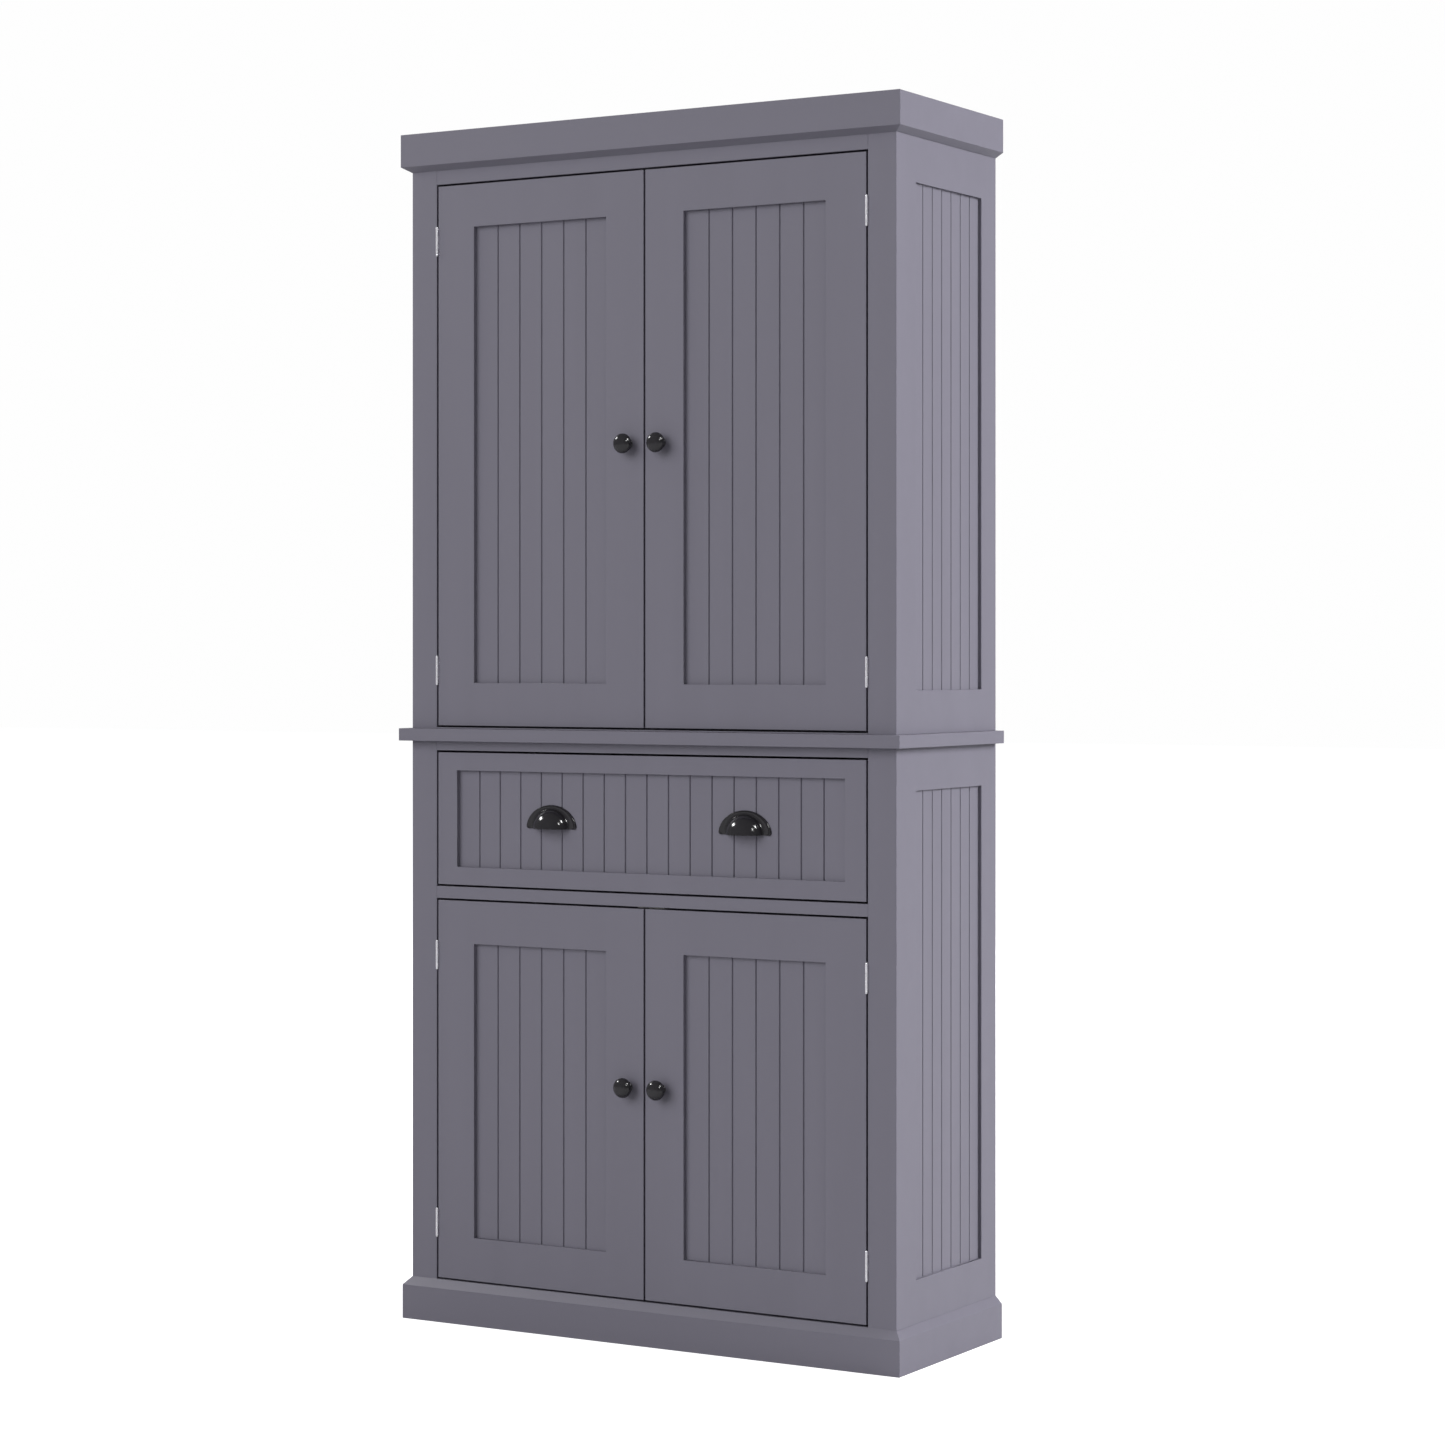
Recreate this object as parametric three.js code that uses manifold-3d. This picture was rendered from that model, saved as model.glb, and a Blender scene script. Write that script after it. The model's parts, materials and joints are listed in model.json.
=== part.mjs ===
// Tall two-section pantry cabinet: inset beadboard doors above and below one full-width drawer.
// Millimetres, +Z up, the front faces -Y and +X is on the viewer's right.
// The pieces are drawn with y = 0 on the front face of the carcass; the root group moves them
// so that the origin is at the bottom centre of the whole cabinet.
import * as THREE from 'three';
import { mergeVertices } from 'three/addons/utils/BufferGeometryUtils.js';
import Module from 'manifold-3d';

const wasm = await Module();
wasm.setup();

// ---- driving dimensions -------------------------------------------------------------------

const HEIGHT = 1829;
const BODY_HALF_W = 423;
const BODY_D = 319;
const BACK_T = 3;
const BACK_INSET = 3;

const BOARD_T = 18;
const SIDE_T = 15;
const SHELF_T = 15;
const STILE_W = 31;
const GAP = 3;
const OPENING_HALF_W = BODY_HALF_W - SIDE_T - STILE_W;
const INNER_HALF_W = BODY_HALF_W - SIDE_T;

const PLINTH_H = 64;
const PLINTH_FASCIA_H = 52;
const PLINTH_OUT = 11;

const MID_RAIL_Z = [651, 669.5];
const WAIST_Z = [893, 912];
const WAIST_OUT_FRONT = 17;
const WAIST_OUT_SIDE = 14;
const DRAWER_OPENING_TOP = 878.5;
const RAIL_D = 80;

const UPPER_LIP_H = 2;
const UPPER_FLOOR_T = 15;
const UPPER_OPENING_TOP = 1749.5;
const CROWN_Z = 1771;
const CROWN_CHAMFER_H = 8;
const CROWN_OUT = 13;
const TOP_BOARD_Z = HEIGHT - BOARD_T;

const DOOR_T = 18;
const DOOR_INNER_X = GAP / 2;
const DOOR_OUTER_X = OPENING_HALF_W - GAP;
const DOOR_STILE_W = 66.5;
const DOOR_RAIL_H = 65.5;
const DOOR_RECESS = 7;
const DOOR_BOARDS = 6;
const LOWER_DOOR_Z = [PLINTH_H + GAP, MID_RAIL_Z[0] - GAP];
const UPPER_DOOR_Z = [WAIST_Z[1] + UPPER_LIP_H + GAP, UPPER_OPENING_TOP - GAP];

const DRAWER_FRONT_Z = [MID_RAIL_Z[1] + GAP, DRAWER_OPENING_TOP - GAP];
const DRAWER_FRAME_W = 35;
const DRAWER_FRAME_H = 27.5;
const DRAWER_BOARDS = 18;
const DRAWER_TRAVEL_LENGTH = 285;
const DRAWER_BOX_HALF_W = 364;
const DRAWER_BOX_Z = [688, 846];
const DRAWER_WALL = 12;
const DRAWER_BOTTOM_T = 4;
const DRAWER_BOTTOM_Z = 698;
const DRAWER_GROOVE_D = 6;

const GROOVE_W = 2.6;
const GROOVE_D = 2.2;

const SIDE_RECESS = 5;
const SIDE_RECESS_Y = [61, 271];
const SIDE_BOARDS = 7;
const LOWER_RECESS_Z = [126.5, 830.5];
const UPPER_RECESS_Z = [974.5, 1706];

const SHELF_CLEARANCE = 1;
const SHELF_FRONT_Y = 22;
const LOWER_SHELF_Z = 350;
const UPPER_SHELVES_Z = [1196, 1480];

const HINGE_X = OPENING_HALF_W - GAP / 2;
const HINGE_Y = -1.6;
const HINGE_FROM_DOOR_END = 84.5;
const BARREL_R = 1.9;
const PIN_R = 1;
const PIN_BORE_R = 1.1;
const HINGE_HALF_H = 20;
const HINGE_TIP = 2.75;
const KNUCKLE_HALF_H = 7;
const KNUCKLE_PLAY = 0.2;
const LEAF_T = 1.2;
const LEAF_END_Y = 15;
const LEAF_RELIEF_Y = 2.3;
const BARREL_SIDES = 12;

const KNOB_X = 29;
const KNOB_UPPER_Z = 1340;
const KNOB_LOWER_Z = 382;
const KNOB_SIDES = 20;

const PULL_X = 169.5;
const PULL_Z = 762.5;
const PULL_HALF_W = 45;
const PULL_H = 36;
const PULL_PLATE_T = 2;
const PULL_CORNER = 4;
const DOME_HALF_W = 31;
const DOME_H = 29.5;
const DOME_OUT = 23;
const DOME_WALL = 1.8;

const RUNNER_T = 1.2;
const RUNNER_Z = 742;
const RUNNER_H = 38;
const RUNNER_FLANGE = 9;
const RUNNER_NEST = 2;
const RUNNER_FLANGE_Y = 21;
const RUNNER_END_Y = 300;
const RUNNER_TAB_W = 22;
const RUNNER_FOOT = 20;

const KNOB_OUT = 25;

// ---- materials ----------------------------------------------------------------------------

const paint = new THREE.MeshStandardMaterial({ color: 0x73717a, roughness: 0.5, metalness: 0 });
const hardboard = new THREE.MeshStandardMaterial({ color: 0x6f6d74, roughness: 0.75, metalness: 0 });
const blackMetal = new THREE.MeshStandardMaterial({ color: 0x242426, roughness: 0.18, metalness: 0.6 });
const nickel = new THREE.MeshStandardMaterial({ color: 0xc9c7cf, roughness: 0.3, metalness: 1 });
const zinc = new THREE.MeshStandardMaterial({ color: 0xb4b6b8, roughness: 0.42, metalness: 1 });

// ---- geometry helpers ---------------------------------------------------------------------

// Joins equal corners, so that a geometry is one connected surface.
function welded(geometry) {
  const bare = geometry.clone();
  bare.deleteAttribute('normal');
  bare.deleteAttribute('uv');
  return mergeVertices(bare, 1e-4);
}

function toSolid(geometry) {
  const merged = welded(geometry);
  return new wasm.Manifold(new wasm.Mesh({
    numProp: 3,
    vertProperties: new Float32Array(merged.attributes.position.array),
    triVerts: new Uint32Array(merged.index.array),
  }));
}

function toGeometry(solid) {
  const mesh = solid.getMesh();
  const geometry = new THREE.BufferGeometry();
  geometry.setAttribute('position', new THREE.BufferAttribute(mesh.vertProperties, 3));
  geometry.setIndex(new THREE.BufferAttribute(mesh.triVerts, 1));
  return geometry;
}

function join(...geometries) {
  return toGeometry(geometries.map(toSolid).reduce((all, next) => all.add(next)));
}

function cut(geometry, cutter) {
  return toGeometry(toSolid(geometry).subtract(toSolid(cutter)));
}

function signedVolume(geometry) {
  const at = geometry.attributes.position;
  const order = geometry.index.array;
  const corner = [new THREE.Vector3(), new THREE.Vector3(), new THREE.Vector3()];
  let sum = 0;
  for (let i = 0; i < order.length; i += 3) {
    corner.forEach((point, k) => point.fromBufferAttribute(at, order[i + k]));
    sum += corner[0].dot(corner[1].cross(corner[2]));
  }
  return sum / 6;
}

// Moves every corner to place(x, y, z) and keeps the faces pointing out, even when mirrored.
function placed(geometry, place) {
  const result = welded(geometry);
  const at = result.attributes.position;
  for (let i = 0; i < at.count; i += 1) {
    at.setXYZ(i, ...place(at.getX(i), at.getY(i), at.getZ(i)));
  }
  if (signedVolume(result) < 0) {
    result.index.array.reverse();
  }
  return result;
}

function mirrored(geometry) {
  return placed(geometry, (x, y, z) => [-x, y, z]);
}

function block(x, y, z) {
  const geometry = new THREE.BoxGeometry(x[1] - x[0], y[1] - y[0], z[1] - z[0]);
  return geometry.translate((x[0] + x[1]) / 2, (y[0] + y[1]) / 2, (z[0] + z[1]) / 2);
}

// A prism with its outline in X and Y, standing from z[0] to z[1].
function prism(outline, z) {
  const shape = new THREE.Shape(outline.map(([x, y]) => new THREE.Vector2(x, y)));
  const geometry = new THREE.ExtrudeGeometry(shape, { depth: z[1] - z[0], bevelEnabled: false });
  return geometry.translate(0, 0, z[0]);
}

const cabinet = new THREE.Group();
cabinet.position.y = -(BODY_D + BACK_T - KNOB_OUT) / 2;

function addPiece(name, geometry, material) {
  const mesh = new THREE.Mesh(geometry, material);
  mesh.name = name;
  cabinet.add(mesh);
}

// Adds the right-hand piece as drawn and its mirror image on the left.
function addPair(name, geometry, material) {
  addPiece(name('right'), geometry, material);
  addPiece(name('left'), mirrored(geometry), material);
}

// ---- beadboard ----------------------------------------------------------------------------

// The space routed out of a board: a sunk field with V grooves between its equal strips.
// u runs across the board and v into it, from the show face at v = 0.
function beadboardCutter(u, z, depth, boards) {
  const pitch = (u[1] - u[0]) / boards;
  const outline = [[u[0], -1], [u[1], -1], [u[1], depth]];
  for (let i = boards - 1; i > 0; i -= 1) {
    const groove = u[0] + pitch * i;
    outline.push([groove + GROOVE_W / 2, depth]);
    outline.push([groove, depth + GROOVE_D]);
    outline.push([groove - GROOVE_W / 2, depth]);
  }
  outline.push([u[0], depth]);
  return prism(outline, z);
}

// ---- carcass ------------------------------------------------------------------------------

// A side panel, drawn with its show face at v = 0, then stood on the right-hand side.
function sidePanel(z, recessZ) {
  const board = block([0, BODY_D], [0, SIDE_T], z);
  const routed = cut(board, beadboardCutter(SIDE_RECESS_Y, recessZ, SIDE_RECESS, SIDE_BOARDS));
  return placed(routed, (u, v, height) => [BODY_HALF_W - v, u, height]);
}

function stile(z) {
  return block([OPENING_HALF_W, INNER_HALF_W], [0, BOARD_T], z);
}

function rail(z, depth) {
  return block([-OPENING_HALF_W, OPENING_HALF_W], [0, depth], z);
}

// A board that fills the carcass behind the stiles and reaches the front between them.
function floorBoard(z) {
  const outline = [
    [-INNER_HALF_W, BODY_D],
    [-INNER_HALF_W, BOARD_T],
    [-OPENING_HALF_W, BOARD_T],
    [-OPENING_HALF_W, 0],
    [OPENING_HALF_W, 0],
    [OPENING_HALF_W, BOARD_T],
    [INNER_HALF_W, BOARD_T],
    [INNER_HALF_W, BODY_D],
  ];
  return prism(outline, z);
}

// The upper floor is rebated at the front, so only a thin lip shows under the doors.
function upperFloor() {
  const z = [WAIST_Z[1], WAIST_Z[1] + UPPER_FLOOR_T];
  const rebateY = DOOR_T + GAP;
  const rebate = block([-INNER_HALF_W - 1, INNER_HALF_W + 1], [-1, rebateY], [z[0] + UPPER_LIP_H, z[1] + 1]);
  return cut(floorBoard(z), rebate);
}

function shelf(z) {
  const halfW = INNER_HALF_W - SHELF_CLEARANCE;
  return block([-halfW, halfW], [SHELF_FRONT_Y, BODY_D - SHELF_CLEARANCE], [z, z + SHELF_T]);
}

// A moulding's section is a list of [out, z] points, with out = 0 against the carcass.
function mouldingSection(points) {
  const shape = new THREE.Shape(points.map(([out, z]) => new THREE.Vector2(out, z)));
  return new THREE.ExtrudeGeometry(shape, { depth: 1, bevelEnabled: false });
}

// The front length runs from mitre to mitre.
function frontMoulding(points) {
  return placed(mouldingSection(points), (out, z, end) => {
    const side = end < 0.5 ? -1 : 1;
    return [side * (BODY_HALF_W + out), -out, z];
  });
}

// The side length runs from the front mitre to a square end at the back.
function sideMoulding(points) {
  return placed(mouldingSection(points), (out, z, end) => {
    const y = end < 0.5 ? -out : BODY_D;
    return [BODY_HALF_W + out, y, z];
  });
}

function addMoulding(name, points) {
  addPiece(`${name}_front`, frontMoulding(points), paint);
  addPair((side) => `${name}_${side}`, sideMoulding(points), paint);
}

function addCarcass() {
  const lowerZ = [0, WAIST_Z[0]];
  const upperZ = [WAIST_Z[1], TOP_BOARD_Z];
  addPair((side) => `lower_side_${side}`, sidePanel(lowerZ, LOWER_RECESS_Z), paint);
  addPair((side) => `upper_side_${side}`, sidePanel(upperZ, UPPER_RECESS_Z), paint);
  addPair((side) => `lower_stile_${side}`, stile(lowerZ), paint);
  addPair((side) => `upper_stile_${side}`, stile(upperZ), paint);
  addPiece('mid_rail', rail(MID_RAIL_Z, RAIL_D), paint);
  addPiece('drawer_top_rail', rail([DRAWER_OPENING_TOP, WAIST_Z[0]], RAIL_D), paint);
  addPiece('upper_top_rail', rail([UPPER_OPENING_TOP, TOP_BOARD_Z], BOARD_T), paint);
  addPiece('lower_floor', floorBoard([PLINTH_H - BOARD_T, PLINTH_H]), paint);
  addPiece('upper_floor', upperFloor(), paint);

  const waistHalfW = BODY_HALF_W + WAIST_OUT_SIDE;
  addPiece('waist_board', block([-waistHalfW, waistHalfW], [-WAIST_OUT_FRONT, BODY_D], WAIST_Z), paint);
  addPiece('top_board', block([-BODY_HALF_W, BODY_HALF_W], [0, BODY_D], [TOP_BOARD_Z, HEIGHT]), paint);

  const backHalfW = BODY_HALF_W - BACK_INSET;
  const backZ = [PLINTH_H - BOARD_T, HEIGHT - BACK_INSET];
  addPiece('back_panel', block([-backHalfW, backHalfW], [BODY_D, BODY_D + BACK_T], backZ), hardboard);

  addPiece('lower_shelf', shelf(LOWER_SHELF_Z), paint);
  addPiece('upper_shelf_low', shelf(UPPER_SHELVES_Z[0]), paint);
  addPiece('upper_shelf_high', shelf(UPPER_SHELVES_Z[1]), paint);

  addMoulding('plinth', [[0, 0], [PLINTH_OUT, 0], [PLINTH_OUT, PLINTH_FASCIA_H], [0, PLINTH_H]]);
  addMoulding('crown', [
    [0, CROWN_Z],
    [CROWN_OUT, CROWN_Z + CROWN_CHAMFER_H],
    [CROWN_OUT, HEIGHT],
    [0, HEIGHT],
  ]);
}

// ---- doors, hinges and knobs ----------------------------------------------------------------

function door(z) {
  const board = block([DOOR_INNER_X, DOOR_OUTER_X], [0, DOOR_T], z);
  const recessX = [DOOR_INNER_X + DOOR_STILE_W, DOOR_OUTER_X - DOOR_STILE_W];
  const recessZ = [z[0] + DOOR_RAIL_H, z[1] - DOOR_RAIL_H];
  return cut(board, beadboardCutter(recessX, recessZ, DOOR_RECESS, DOOR_BOARDS));
}

// A lathe about +Z from [radius, height] points.
function turned(points, sides) {
  const profile = points.map(([r, height]) => new THREE.Vector2(r, height));
  return new THREE.LatheGeometry(profile, sides).rotateX(Math.PI / 2);
}

function hingeLeafPlate(x, kneeZ) {
  const plateZ = [-HINGE_HALF_H, HINGE_HALF_H];
  const plate = block(x, [LEAF_RELIEF_Y, LEAF_END_Y], plateZ);
  const knees = kneeZ.map((z) => block(x, [0, LEAF_RELIEF_Y + 1], z));
  return join(plate, ...knees);
}

// The frame leaf carries the pin and the two outer knuckles; the pin's axis is x = y = 0.
function hingeFrameLeaf() {
  const tipZ = HINGE_HALF_H + HINGE_TIP;
  const shoulderZ = HINGE_HALF_H + HINGE_TIP * 0.35;
  const domeZ = HINGE_HALF_H + HINGE_TIP * 0.85;
  const half = [
    [PIN_R, KNUCKLE_HALF_H],
    [BARREL_R, KNUCKLE_HALF_H],
    [BARREL_R, shoulderZ],
    [BARREL_R * 0.6, domeZ],
    [0, tipZ],
  ];
  const mirror = half.map(([r, z]) => [r, -z]).reverse();
  const barrel = turned([...mirror, ...half], BARREL_SIDES);
  const leaf = hingeLeafPlate([GAP / 2 - LEAF_T, GAP / 2], [
    [-HINGE_HALF_H, -KNUCKLE_HALF_H],
    [KNUCKLE_HALF_H, HINGE_HALF_H],
  ]);
  return join(barrel, leaf);
}

// The door leaf carries the middle knuckle, bored for the pin.
function hingeDoorLeaf() {
  const halfH = KNUCKLE_HALF_H - KNUCKLE_PLAY;
  const ring = [
    [PIN_BORE_R, -halfH],
    [BARREL_R, -halfH],
    [BARREL_R, halfH],
    [PIN_BORE_R, halfH],
    [PIN_BORE_R, -halfH],
  ];
  const bore = turned([[0, -HINGE_HALF_H], [PIN_BORE_R, -HINGE_HALF_H], [PIN_BORE_R, HINGE_HALF_H],
    [0, HINGE_HALF_H]], BARREL_SIDES);
  const leaf = hingeLeafPlate([-GAP / 2, LEAF_T - GAP / 2], [[-halfH, halfH]]);
  return join(turned(ring, BARREL_SIDES), cut(leaf, bore));
}

// A mushroom knob on a short stem, turned about an axis that points out of the door.
function knob() {
  const profile = [
    [0, 0],
    [8, 0],
    [8, 1.2],
    [6.6, 2.4],
    [5, 4],
    [4.6, 8],
    [7, 10.4],
    [12, 12],
    [14.4, 13.4],
    [15, 15.5],
    [14.5, 18],
    [12.6, 20.9],
    [9.4, 23.3],
    [5, 24.6],
    [0, KNOB_OUT],
  ];
  return placed(turned(profile, KNOB_SIDES), (x, y, z) => [x, -z, y]);
}

function addDoors() {
  const levels = [
    ['upper', UPPER_DOOR_Z, KNOB_UPPER_Z],
    ['lower', LOWER_DOOR_Z, KNOB_LOWER_Z],
  ];
  for (const [level, z, knobZ] of levels) {
    addPair((side) => `${level}_door_${side}`, door(z), paint);
    addPair((side) => `${level}_knob_${side}`, knob().translate(KNOB_X, 0, knobZ), blackMetal);
    const hingeHeights = { top: z[1] - HINGE_FROM_DOOR_END, bottom: z[0] + HINGE_FROM_DOOR_END };
    for (const [end, hingeZ] of Object.entries(hingeHeights)) {
      const frameLeaf = hingeFrameLeaf().translate(HINGE_X, HINGE_Y, hingeZ);
      const doorLeaf = hingeDoorLeaf().translate(HINGE_X, HINGE_Y, hingeZ);
      addPair((side) => `${level}_${side}_${end}_hinge_frame_leaf`, frameLeaf, nickel);
      addPair((side) => `${level}_${side}_${end}_hinge_door_leaf`, doorLeaf, nickel);
    }
  }
}

// ---- drawer ---------------------------------------------------------------------------------

function drawerFront() {
  const board = block([-DOOR_OUTER_X, DOOR_OUTER_X], [0, DOOR_T], DRAWER_FRONT_Z);
  const recessX = [DRAWER_FRAME_W - DOOR_OUTER_X, DOOR_OUTER_X - DRAWER_FRAME_W];
  const recessZ = [DRAWER_FRONT_Z[0] + DRAWER_FRAME_H, DRAWER_FRONT_Z[1] - DRAWER_FRAME_H];
  return cut(board, beadboardCutter(recessX, recessZ, DOOR_RECESS, DRAWER_BOARDS));
}

// A cup pull: a flange with a raised half-dome shell that is open below for the fingers.
function cupPull() {
  const corner = PULL_CORNER;
  const plateShape = new THREE.Shape();
  plateShape.moveTo(corner - PULL_HALF_W, 0);
  plateShape.lineTo(PULL_HALF_W - corner, 0);
  plateShape.quadraticCurveTo(PULL_HALF_W, 0, PULL_HALF_W, corner);
  plateShape.absellipse(0, corner, PULL_HALF_W, PULL_H - corner, 0, Math.PI, false);
  plateShape.quadraticCurveTo(-PULL_HALF_W, 0, corner - PULL_HALF_W, 0);
  const plate = new THREE.ExtrudeGeometry(plateShape, {
    depth: PULL_PLATE_T, bevelEnabled: false, curveSegments: 9,
  });
  const upright = placed(plate, (x, height, out) => [x, -out, height]);
  const outer = new THREE.SphereGeometry(1, 24, 14).scale(DOME_HALF_W, DOME_OUT, DOME_H);
  const inner = new THREE.SphereGeometry(1, 24, 14).scale(
    DOME_HALF_W - DOME_WALL, DOME_OUT - DOME_WALL, DOME_H - DOME_WALL,
  );
  const reach = PULL_HALF_W + 1;
  const front = block([-reach, reach], [-reach, 0], [0, reach]);
  const shell = toSolid(upright).add(toSolid(outer)).intersect(toSolid(front));
  return toGeometry(shell.subtract(toSolid(inner)));
}

function drawerSide() {
  const x = [DRAWER_BOX_HALF_W - DRAWER_WALL, DRAWER_BOX_HALF_W];
  const board = block(x, [DOOR_T, DOOR_T + DRAWER_TRAVEL_LENGTH], DRAWER_BOX_Z);
  return cut(board, drawerBottom());
}

function drawerBottom() {
  const halfW = DRAWER_BOX_HALF_W - DRAWER_WALL + DRAWER_GROOVE_D;
  const y = [DOOR_T, DOOR_T + DRAWER_TRAVEL_LENGTH];
  return block([-halfW, halfW], y, [DRAWER_BOTTOM_Z, DRAWER_BOTTOM_Z + DRAWER_BOTTOM_T]);
}

function drawerBack() {
  const halfW = DRAWER_BOX_HALF_W - DRAWER_WALL;
  const endY = DOOR_T + DRAWER_TRAVEL_LENGTH;
  const z = [DRAWER_BOTTOM_Z + DRAWER_BOTTOM_T, DRAWER_BOX_Z[1]];
  return block([-halfW, halfW], [endY - DRAWER_WALL, endY], z);
}

// The two flanges of a steel channel whose web ends at webX and lies on its +X side.
function addFlanges(web, webX, height, y) {
  const z = [RUNNER_Z - height / 2, RUNNER_Z + height / 2];
  const flangeX = [webX - RUNNER_FLANGE, webX - RUNNER_T / 2];
  return join(
    web,
    block(flangeX, y, [z[0], z[0] + RUNNER_T]),
    block(flangeX, y, [z[1] - RUNNER_T, z[1]]),
  );
}

// The fixed runner is one strip, bent to a tab behind the stile and a foot on the side panel.
function cabinetRunner() {
  const webX = OPENING_HALF_W;
  const z = [RUNNER_Z - RUNNER_H / 2, RUNNER_Z + RUNNER_H / 2];
  const strip = prism([
    [webX - RUNNER_T, BOARD_T],
    [webX + RUNNER_TAB_W, BOARD_T],
    [webX + RUNNER_TAB_W, BOARD_T + RUNNER_T],
    [webX, BOARD_T + RUNNER_T],
    [webX, RUNNER_END_Y - RUNNER_T],
    [INNER_HALF_W - RUNNER_T, RUNNER_END_Y - RUNNER_T],
    [INNER_HALF_W - RUNNER_T, RUNNER_END_Y - RUNNER_FOOT],
    [INNER_HALF_W, RUNNER_END_Y - RUNNER_FOOT],
    [INNER_HALF_W, RUNNER_END_Y],
    [webX - RUNNER_T, RUNNER_END_Y],
  ], z);
  return addFlanges(strip, webX, RUNNER_H, [RUNNER_FLANGE_Y, RUNNER_END_Y - RUNNER_NEST]);
}

// The moving runner is screwed to the drawer side and slides inside the fixed one.
function drawerRunner() {
  const height = RUNNER_H - 2 * (RUNNER_T + RUNNER_NEST);
  const y = [RUNNER_FLANGE_Y, DOOR_T + DRAWER_TRAVEL_LENGTH];
  const web = block([-RUNNER_T, 0], y, [RUNNER_Z - height / 2, RUNNER_Z + height / 2]);
  const member = addFlanges(web, 0, height, y);
  return placed(member, (x, depth, z) => [DRAWER_BOX_HALF_W - x, depth, z]);
}

function addDrawer() {
  addPiece('drawer_front', drawerFront(), paint);
  addPair((side) => `drawer_side_${side}`, drawerSide(), paint);
  addPiece('drawer_back', drawerBack(), paint);
  addPiece('drawer_bottom', drawerBottom(), hardboard);
  addPair((side) => `cup_pull_${side}`, cupPull().translate(PULL_X, DOOR_RECESS, PULL_Z), blackMetal);
  addPair((side) => `drawer_runner_${side}`, drawerRunner(), zinc);
  addPair((side) => `cabinet_runner_${side}`, cabinetRunner(), zinc);
}

addCarcass();
addDoors();
addDrawer();

export default cabinet;
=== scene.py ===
"""Pantry cabinet: the looks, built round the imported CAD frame. Metres; the front faces -Y."""

import json
import math

import bmesh
import bpy
from mathutils import Matrix, Vector


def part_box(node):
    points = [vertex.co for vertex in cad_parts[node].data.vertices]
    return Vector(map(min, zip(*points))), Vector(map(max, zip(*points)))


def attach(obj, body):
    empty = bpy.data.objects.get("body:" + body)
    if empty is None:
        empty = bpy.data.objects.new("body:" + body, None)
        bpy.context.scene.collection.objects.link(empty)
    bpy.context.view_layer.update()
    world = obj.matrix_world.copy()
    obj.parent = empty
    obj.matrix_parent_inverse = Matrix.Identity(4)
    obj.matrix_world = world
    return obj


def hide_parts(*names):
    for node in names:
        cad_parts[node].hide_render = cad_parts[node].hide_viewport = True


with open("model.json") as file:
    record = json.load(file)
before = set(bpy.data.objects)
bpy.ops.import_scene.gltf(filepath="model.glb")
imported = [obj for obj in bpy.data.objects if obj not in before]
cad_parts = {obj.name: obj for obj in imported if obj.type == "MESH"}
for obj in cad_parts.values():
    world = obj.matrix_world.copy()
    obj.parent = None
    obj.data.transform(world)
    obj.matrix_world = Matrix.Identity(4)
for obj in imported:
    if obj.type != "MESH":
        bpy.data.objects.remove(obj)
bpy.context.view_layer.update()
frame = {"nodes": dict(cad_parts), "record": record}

# Sizes with MM are in metres. Those without it, for what a Shape draws, are in millimetres.
MM = 0.001
NEAR = 0.05 * MM
SIDES = {"left": -1, "right": 1}
LEVELS = ("upper", "lower")
ENDS = ("top", "bottom")

# ---- camera, light and floor ----------------------------------------------------------------

CAMERA_AT = (2.7327, -4.5217, 1.0343)
CAMERA_YAW = math.radians(30.71)
CAMERA_TILT = math.radians(90)
CAMERA_LENS = 86.45
CAMERA_SENSOR = 36
CAMERA_CLIP_END = 200
CAMERA_SHIFT_Y = -0.0508

WHITE = (1, 1, 1, 1)
WORLD_FILL = 0.18
BACKDROP_WHITE = 0.99
FLOOR_SIZE = 60
FLOOR_PALE = (0.42, 0.42, 0.425, 1)
FLOOR_ROUGHNESS = 0.9
FLOOR_GLOW = 0.90

SUBJECT = (0, 0, 0.95)

# name: direction from the cabinet, distance, size in metres, watts
BROAD_LIGHTS = {
    "side": ((0.84, 0.38, 0.38), 14.0, (6.5, 6.5), 2800),
    "front": ((-0.36, -0.84, 0.41), 24.0, (23.0, 18.0), 4480),
    "overhead": ((0.0, 0.15, 0.99), 18.0, (11.0, 9.0), 1540),
    "back": ((-0.45, 0.85, 0.25), 7.0, (3.0, 3.0), 160),
}
GLINT_LIGHTS = {
    "glint_left": ((-0.82, -0.26, 0.52), 7.0, (1.8, 1.1), 190),
    "glint_right": ((0.71, -0.19, 0.64), 7.0, (1.1, 1.6), 190),
    "glint_low": ((0.64, -0.61, 0.46), 7.0, (0.8, 1.2), 70),
}


def add_camera():
    camera = bpy.data.objects.new("camera", bpy.data.cameras.new("camera"))
    bpy.context.scene.collection.objects.link(camera)
    camera.location = CAMERA_AT
    camera.rotation_euler = (CAMERA_TILT, 0, CAMERA_YAW)
    camera.data.lens = CAMERA_LENS
    camera.data.sensor_width = CAMERA_SENSOR
    camera.data.shift_y = CAMERA_SHIFT_Y
    camera.data.clip_end = CAMERA_CLIP_END
    bpy.context.scene.camera = camera


def add_softbox(name, direction, distance, size, power, mirrored):
    """A rectangular light that faces the cabinet. A mirrored one only shows in gloss, and the
    others only light it diffusely."""
    light = bpy.data.lights.new(name, "AREA")
    light.shape = "RECTANGLE"
    light.size, light.size_y = size
    light.energy = power
    lamp = bpy.data.objects.new(name, light)
    bpy.context.scene.collection.objects.link(lamp)
    away = Vector(direction).normalized()
    lamp.location = Vector(SUBJECT) + away * distance
    lamp.rotation_mode = "QUATERNION"
    lamp.rotation_quaternion = away.to_track_quat("Z", "Y")
    lamp.visible_camera = False
    lamp.visible_glossy = mirrored
    lamp.visible_diffuse = not mirrored


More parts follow.
